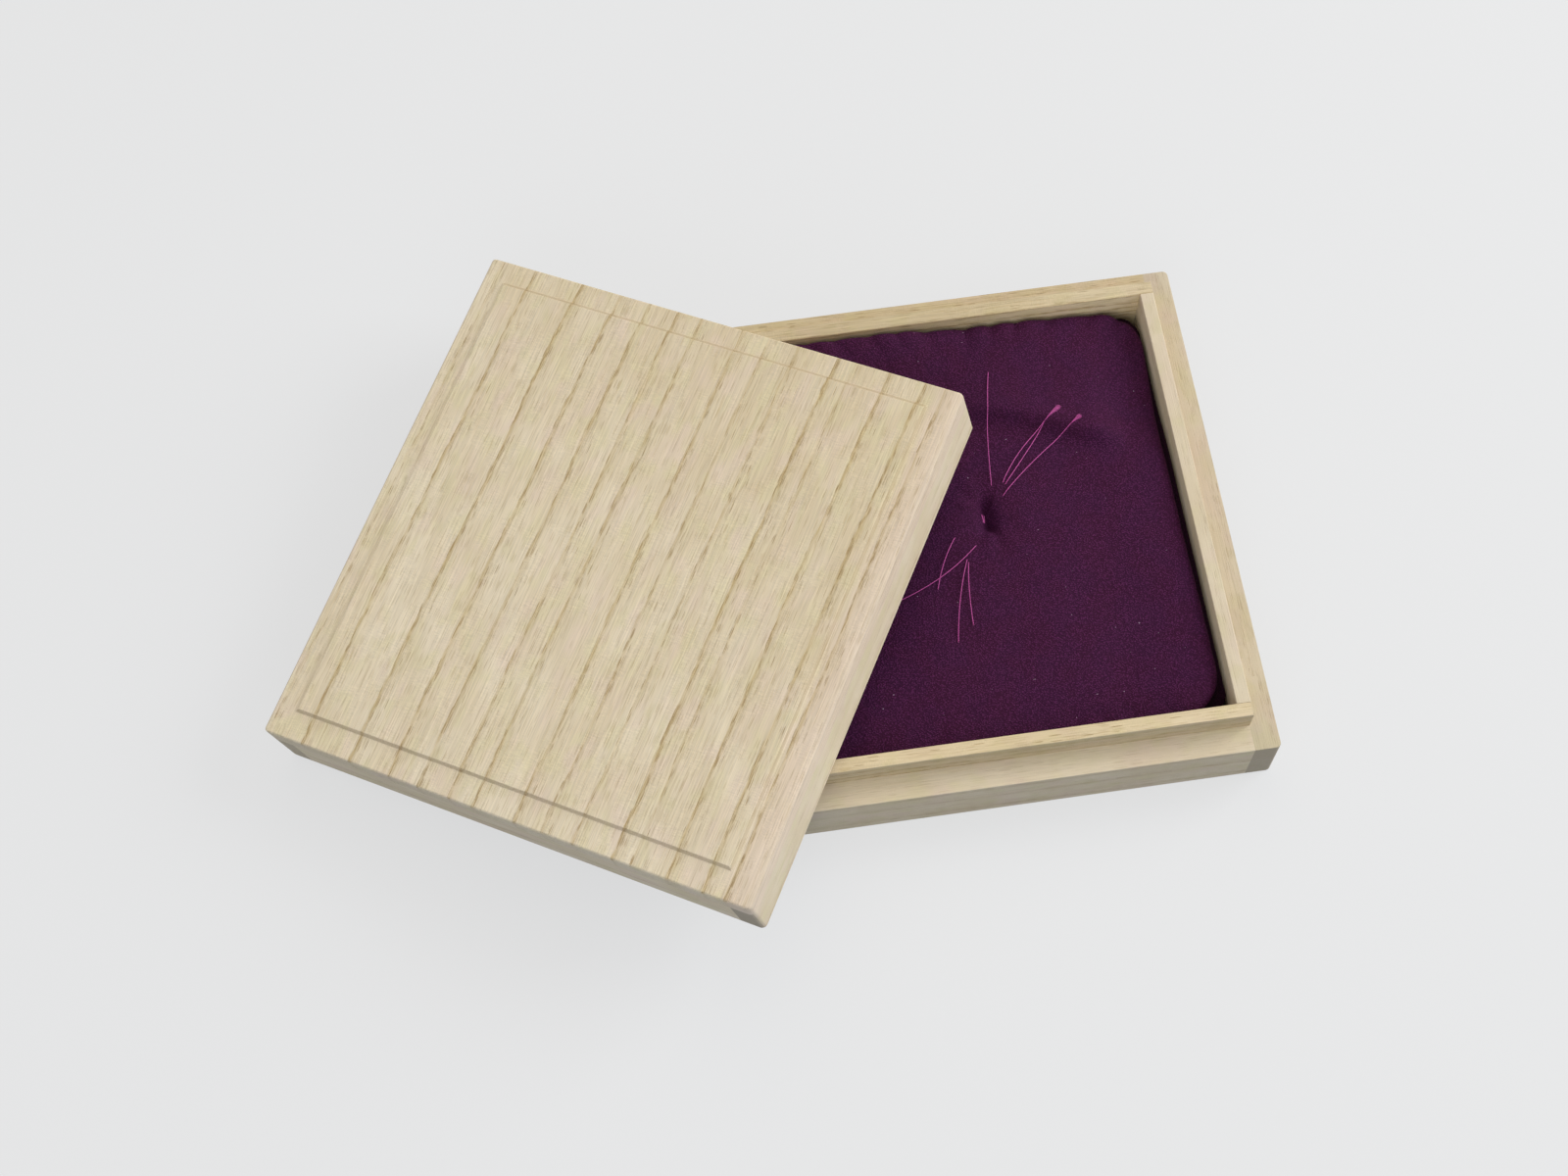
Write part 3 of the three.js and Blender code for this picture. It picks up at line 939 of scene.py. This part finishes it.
def seam_gathers(seam_x, seam_y, seam_share, half_x, half_y):
    """Round bulges at the seam with a cleft between each two, and their strength, most along the back."""
    gathers = round(2 * (half_x + half_y) * 2 / PUCKER_SPACING)
    wobble = 1.3 * smooth_noise(seam_x, seam_y, 5.2, 21)
    bulge = np.abs(np.cos(np.pi * gathers * seam_share + wobble)) ** 0.7
    bulge = (bulge - 0.5) * (0.7 + 0.5 * smooth_noise(seam_x, seam_y, 8.8, 15))
    strength = 0.25 + 0.75 * rising(seam_y, *(half_y - distance for distance in GATHERS_GROW))
    return bulge, strength


def from_tuft(shares, line_x, line_y):
    """Rings at the given shares of the way from the tuft to a line round the cushion."""
    x = TUFT_PLACE[0] + shares[:, None] * (line_x - TUFT_PLACE[0])
    y = TUFT_PLACE[1] + shares[:, None] * (line_y - TUFT_PLACE[1])
    return x, y


def top_rings(seam, half_x, half_y, base_z, edge_share):
    """Rings from the tuft to the seam: the top, then a plump edge that puckers and turns down."""
    seam_x, seam_y, seam_share = seam
    shares = np.concatenate([
        np.linspace(0, 1, TOP_RINGS + 1)[1:] ** 1.25 * edge_share,
        edge_share + (1 - edge_share) * np.sin(np.linspace(0, np.pi / 2, EDGE_RINGS + 1)[1:]),
    ])
    x, y = from_tuft(shares, seam_x, seam_y)
    out = np.clip((shares - edge_share) / (1 - edge_share), 0, 1)[:, None]
    plump = np.clip(1 - out ** 2.4, 0, 1) ** (1 / 2.2)

    bulge, strength = seam_gathers(seam_x, seam_y, seam_share, half_x, half_y)
    from_seam = (1 - shares[:, None]) * half_x
    puckers = PUCKER_HEIGHT * (bulge * strength)[None, :] * np.exp(-(from_seam / PUCKER_REACH) ** 2)
    at_back = rising(seam_y, *(half_y - distance for distance in SEAM_DROPS))
    seam_drop = SEAM_DROP + (BACK_SEAM_DROP - SEAM_DROP) * at_back
    seam_z = base_z + cushion_top(seam_x, seam_y, half_x, half_y) - seam_drop
    top_z = base_z + cushion_top(x, y, half_x, half_y) + puckers
    z = seam_z + (top_z - seam_z) * plump
    inward = 0.5 * ((0.5 - bulge) * strength)[None, :] * out ** 2
    x -= inward * np.sign(x)
    y -= inward * np.sign(y)
    return np.stack([x, y, z], 2), seam_z


def side_rings(seam, seam_z, belly):
    """Rings below the seam, where the side swells out to the walls."""
    gone = np.linspace(0, 1, SIDE_RINGS + 1)[1:, None]
    x = seam[0] + (belly[0] - seam[0]) * rising(gone, 0, 1)
    y = seam[1] + (belly[1] - seam[1]) * rising(gone, 0, 1)
    return np.stack([x, y, seam_z - BELLY_DROP * gone], 2)


def under_rings(belly, belly_z, floor_z, edge_share):
    """Rings that turn under from the belly to the flat underside."""
    shares = np.cos(np.linspace(0, np.pi / 2, UNDER_RINGS + 1))[1:-1] * (1 - edge_share) + edge_share
    shares = np.concatenate([shares, [edge_share * 0.6, edge_share * 0.25]])
    out = np.clip((shares - edge_share) / (1 - edge_share), 0, 1)[:, None]
    x, y = from_tuft(shares, belly[0], belly[1])
    z = belly_z + (floor_z - belly_z) * np.sqrt(np.clip(1 - out ** 2.6, 0, 1))
    return np.stack([x, y, z], 2)


def closed_faces(ring_count, top_pole, bottom_pole):
    """Faces between each ring and the next, and a fan at each pole."""
    faces = []
    last = (ring_count - 1) * AROUND
    for i in range(AROUND):
        after = (i + 1) % AROUND
        faces.append((top_pole, i, after))
        faces.append((bottom_pole, last + after, last + i))
        for ring in range(0, last, AROUND):
            faces.append((ring + i, ring + AROUND + i, ring + AROUND + after, ring + after))
    return faces


def make_cushion():
    """The pad: a crowned top with a tuft, a puckered seam, a side that swells and a flat underside."""
    floor_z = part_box("cushion")[0].z / MM
    half_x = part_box("lip_right")[0].x / MM - WALL_GAP
    half_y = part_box("lip_back")[0].y / MM - WALL_GAP
    base_z = floor_z + EDGE_HEIGHT
    edge_share = 1 - EDGE_ROUND / half_x
    seam = outline(half_x, half_y, CORNER_RADIUS, SIDE_DRAW)
    belly = outline(half_x, half_y, BELLY_RADIUS, 0.0)

    top, seam_z = top_rings(seam, half_x, half_y, base_z, edge_share)
    side = side_rings(seam, seam_z, belly)
    under = under_rings(belly, side[-1][:, 2], floor_z, edge_share)
    rings = np.concatenate([top, side, under])
    crest = base_z + cushion_top(*(np.array([place]) for place in TUFT_PLACE), half_x, half_y)[0]
    points = [Vector(p) * MM for p in rings.reshape(-1, 3)]
    points += [metres(*TUFT_PLACE, float(crest)), metres(*TUFT_PLACE, floor_z)]

    mesh = bpy.data.meshes.new("crepe_cushion")
    mesh.from_pydata(points, [], closed_faces(len(rings), len(points) - 2, len(points) - 1))
    # Painted shade: the cloth's colour is darkest right under the seam and lighter towards the underside
    fading = np.linspace(1.0, UNDERSIDE_SHADE, len(side))
    shades = np.concatenate([np.zeros(len(top)), fading, np.full(len(under), UNDERSIDE_SHADE)])
    keep_values(mesh, "below_seam", "POINT", [*np.repeat(shades, AROUND), 0.0, UNDERSIDE_SHADE])
    mesh.polygons.foreach_set("use_smooth", [True] * len(mesh.polygons))
    mesh.materials.append(crepe())
    cushion = placed("crepe_cushion", mesh)
    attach(cushion, "cushion")
    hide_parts("cushion")
    return cushion


# Thread


def yarn_tree():
    """Geometry nodes that spin a path into thread: an oval section that turns as it goes."""
    tree = bpy.data.node_groups.new("spun thread", "GeometryNodeTree")
    interface = tree.interface
    interface.new_socket("Paths", in_out="INPUT", socket_type="NodeSocketGeometry")
    for label in ("Width", "Twist length", "Step"):
        interface.new_socket(label, in_out="INPUT", socket_type="NodeSocketFloat")
    interface.new_socket("Finish", in_out="INPUT", socket_type="NodeSocketMaterial")
    interface.new_socket("Thread", in_out="OUTPUT", socket_type="NodeSocketGeometry")

    def add(kind, settings=None, sockets=None):
        node = tree.nodes.new(kind)
        for name, setting in (settings or {}).items():
            setattr(node, name, setting)
        for name, value in (sockets or {}).items():
            if isinstance(value, bpy.types.NodeSocket):
                tree.links.new(value, node.inputs[name])
            else:
                node.inputs[name].default_value = value
        return node.outputs

    given = add("NodeGroupInput")
    curve = add("GeometryNodeMeshToCurve", sockets={"Mesh": given["Paths"]})[0]
    even = add("GeometryNodeResampleCurve", {"mode": "LENGTH"}, {"Curve": curve, "Length": given["Step"]})[0]
    gone = add("GeometryNodeSplineParameter")["Length"]
    turns = add("ShaderNodeMath", {"operation": "DIVIDE"}, {0: gone, 1: given["Twist length"]})[0]
    angle = add("ShaderNodeMath", {"operation": "MULTIPLY"}, {0: turns, 1: math.tau})[0]
    twisted = add("GeometryNodeSetCurveTilt", sockets={"Curve": even, "Tilt": angle})[0]
    radius = add("ShaderNodeMath", {"operation": "MULTIPLY"}, {0: given["Width"], 1: 0.5})[0]
    sizes = {"Resolution": THREAD_SIDES, "Radius": radius}
    circle = add("GeometryNodeCurvePrimitiveCircle", {"mode": "RADIUS"}, sizes)["Curve"]
    flattened = {"Geometry": circle, "Scale": (1.0, THREAD_FLATNESS, 1.0)}
    oval = add("GeometryNodeTransform", sockets=flattened)[0]
    sweep = {"Curve": twisted, "Profile Curve": oval, "Fill Caps": True}
    swept = add("GeometryNodeCurveToMesh", sockets=sweep)[0]
    smooth = add("GeometryNodeSetShadeSmooth", sockets={"Geometry": swept})[0]
    plain = add("GeometryNodeRealizeInstances", sockets={"Geometry": smooth})[0]
    dyed = add("GeometryNodeSetMaterial", sockets={"Geometry": plain, "Material": given["Finish"]})[0]
    add("NodeGroupOutput", sockets={"Thread": dyed})
    return tree


def spin(name, paths, tree, finish, width, step):
    """One mesh of thread along several paths, given in metres; its width and step are in millimetres."""
    points, edges = [], []
    for path in paths:
        start = len(points)
        points.extend(path)
        edges.extend((start + i, start + i + 1) for i in range(len(path) - 1))
    lines = bpy.data.meshes.new(name + "_paths")
    lines.from_pydata(points, edges, [])
    piece = placed(name, lines)
    modifier = piece.modifiers.new("spun thread", "NODES")
    modifier.node_group = tree
    values = {"Width": width * MM, "Twist length": THREAD_TWIST * MM, "Step": step * MM, "Finish": finish}
    for item in tree.interface.items_tree:
        if item.in_out == "INPUT" and item.name in values:
            modifier[item.identifier] = values[item.name]
    piece.update_tag()
    graph = bpy.context.evaluated_depsgraph_get()
    mesh = bpy.data.meshes.new_from_object(piece.evaluated_get(graph))
    piece.modifiers.clear()
    piece.data = mesh
    mesh.name = name
    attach(piece, "cushion")
    return piece


def smooth_path(places, steps):
    """Points along a smooth line through the given places."""
    places = [places[0] * 2 - places[1], *places, places[-1] * 2 - places[-2]]
    path = []
    for i in range(1, len(places) - 2):
        before, start, end, after = places[i - 1:i + 3]
        for step in range(steps):
            t = step / steps
            path.append((start * 2 + (end - before) * t + (before * 2 - start * 5 + end * 4 - after) * t ** 2
                         + (start * 3 - before - end * 3 + after) * t ** 3) / 2)
    path.append(places[-2])
    return path


def brush(tip, along, count, length, radius, on_cloth):
    """Fine fibres that swell out from a thread's tip and turn in again at their ends, lying on the cloth."""
    along = Vector((along.x, along.y, 0)).normalized()
    side = Vector((along.y, -along.x, 0))
    fibres = []
    for k in range(count):
        turn = k * FIBRE_TURN
        out = math.sqrt((k + 0.5) / count)
        reach = length * (0.92 + 0.08 * math.sin(3.7 * k))
        path = []
        for share, swell in BRUSH_SWELL:
            flat = tip / MM + along * reach * share + side * (math.cos(turn) * out * radius * swell)
            lift = THREAD_WIDTH / 2 + abs(math.sin(turn)) * out * radius * swell
            path.append(on_cloth(flat.x, flat.y, lift))
        fibres.append(smooth_path(path, 3))
    return fibres


def thread_end(start, end, bow, on_cloth):
    """The path of a loose end that bows to one side and lies on the cloth."""
    start, end = Vector(start), Vector(end)
    across = Vector((start.y - end.y, end.x - start.x)).normalized()
    places = []
    for step in range(THREAD_PLACES + 1):
        share = step / THREAD_PLACES
        flat = start.lerp(end, share) + across * (bow * 4 * share * (1 - share))
        sink = THREAD_SINK * max(0, 1 - THREAD_PLACES * share)
        arch = THREAD_ARCH * math.sin(math.pi * share) + THREAD_LIFT - sink
        places.append(on_cloth(*flat, THREAD_WIDTH / 2 + arch))
    return smooth_path(places, 5)


def stitch(number, on_cloth):
    """The path of one stitch in the tuft."""
    x = TUFT_PLACE[0] - STITCH_LEFT + (number - 1) * STITCH_SPACING
    places = []
    for j in range(5):
        y = TUFT_PLACE[1] + (j / 4 - 0.5) * STITCH_LENGTH
        places.append(on_cloth(x + STITCH_WOBBLE * math.sin(2.1 * number + j), y, THREAD_WIDTH / 2))
    return smooth_path(places, 6)


def make_threads(cushion):
    """Loose thread ends that lie on the cushion, two with frayed tips, and the stitches in the tuft."""
    tree = yarn_tree()
    finish = thread()
    cloth = BVHTree.FromObject(cushion, bpy.context.evaluated_depsgraph_get())

    def on_cloth(x, y, lift):
        above = metres(x, y, ABOVE_CLOTH)
        hit = cloth.ray_cast(above, Vector((0, 0, -1)))[0]
        return hit + metres(0, 0, lift)

    paths, fibres = [], []
    for name, (start, end, bow) in THREAD_ENDS.items():
        path = thread_end(start, end, bow, on_cloth)
        paths.append(path)
        along = (path[-1] - path[-6]).normalized()
        tip = path[-1] - along * TIP_OVERLAP * MM
        if name in FRAYED:
            fibres.extend(brush(tip, along, BRUSH_FIBRES, FRAYED[name], BRUSH_WIDTH / 2, on_cloth))
        elif name != SHARED_TIP:
            fibres.extend(brush(tip, along, CUT_FIBRES, CUT_TIP, CUT_SPREAD, on_cloth))
    spin("thread_ends", paths, tree, finish, THREAD_WIDTH, THREAD_STEP)
    spin("frayed_tips", fibres, tree, finish, FIBRE_WIDTH, FIBRE_STEP)
    stitches = [stitch(number, on_cloth) for number in range(STITCHES)]
    stitched = spin("tuft_stitches", stitches, tree, finish, THREAD_WIDTH, THREAD_STEP)
    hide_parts("tuft_stitch")


# Studio


def place_camera():
    data = bpy.data.cameras.new("camera")
    data.lens = LENS
    data.sensor_width = SENSOR
    forward = Vector((
        math.sin(CAMERA_YAW) * math.cos(CAMERA_PITCH),
        math.cos(CAMERA_YAW) * math.cos(CAMERA_PITCH),
        -math.sin(CAMERA_PITCH),
    ))
    level = Vector((math.cos(CAMERA_YAW), -math.sin(CAMERA_YAW), 0))
    down = forward.cross(level)
    right = level * math.cos(CAMERA_ROLL) + down * math.sin(CAMERA_ROLL)
    up = level * math.sin(CAMERA_ROLL) - down * math.cos(CAMERA_ROLL)
    turned = Matrix((right, up, -forward)).transposed().to_4x4()
    camera = placed("camera", data)
    camera.matrix_world = Matrix.Translation(metres(*CAMERA_PLACE)) @ turned
    bpy.context.scene.camera = camera


def lamp(name, place, size, share, tint):
    """A soft rectangular lamp that gives a surface facing it the given share of plain light."""
    data = bpy.data.lights.new(name, "AREA")
    data.shape = "RECTANGLE"
    data.size, data.size_y = size
    away = Vector(place) - Vector(LAMPS_AIM)
    data.energy = share * math.pi ** 2 * away.length_squared
    data.color = tint
    source = placed(name, data)
    source.location = place
    source.rotation_euler = away.to_track_quat("Z", "Y").to_euler()


def light_studio():
    for name, (place, size, share, tint) in LAMPS.items():
        lamp(name, place, size, share, tint)
    bpy.context.scene.world = pale_room()


def lay_floor():
    mesh = bpy.data.meshes.new("floor")
    corners = ((-1, -1), (1, -1), (1, 1), (-1, 1))
    mesh.from_pydata([(x * FLOOR_HALF, y * FLOOR_HALF, 0) for x, y in corners], [], [(0, 1, 2, 3)])
    mesh.materials.append(pale_floor())
    floor = placed("floor", mesh)


place_camera()
make_boards()
make_threads(make_cushion())
lay_floor()
light_studio()
bpy.context.scene.view_settings.view_transform = "Standard"

bpy.context.view_layer.update()
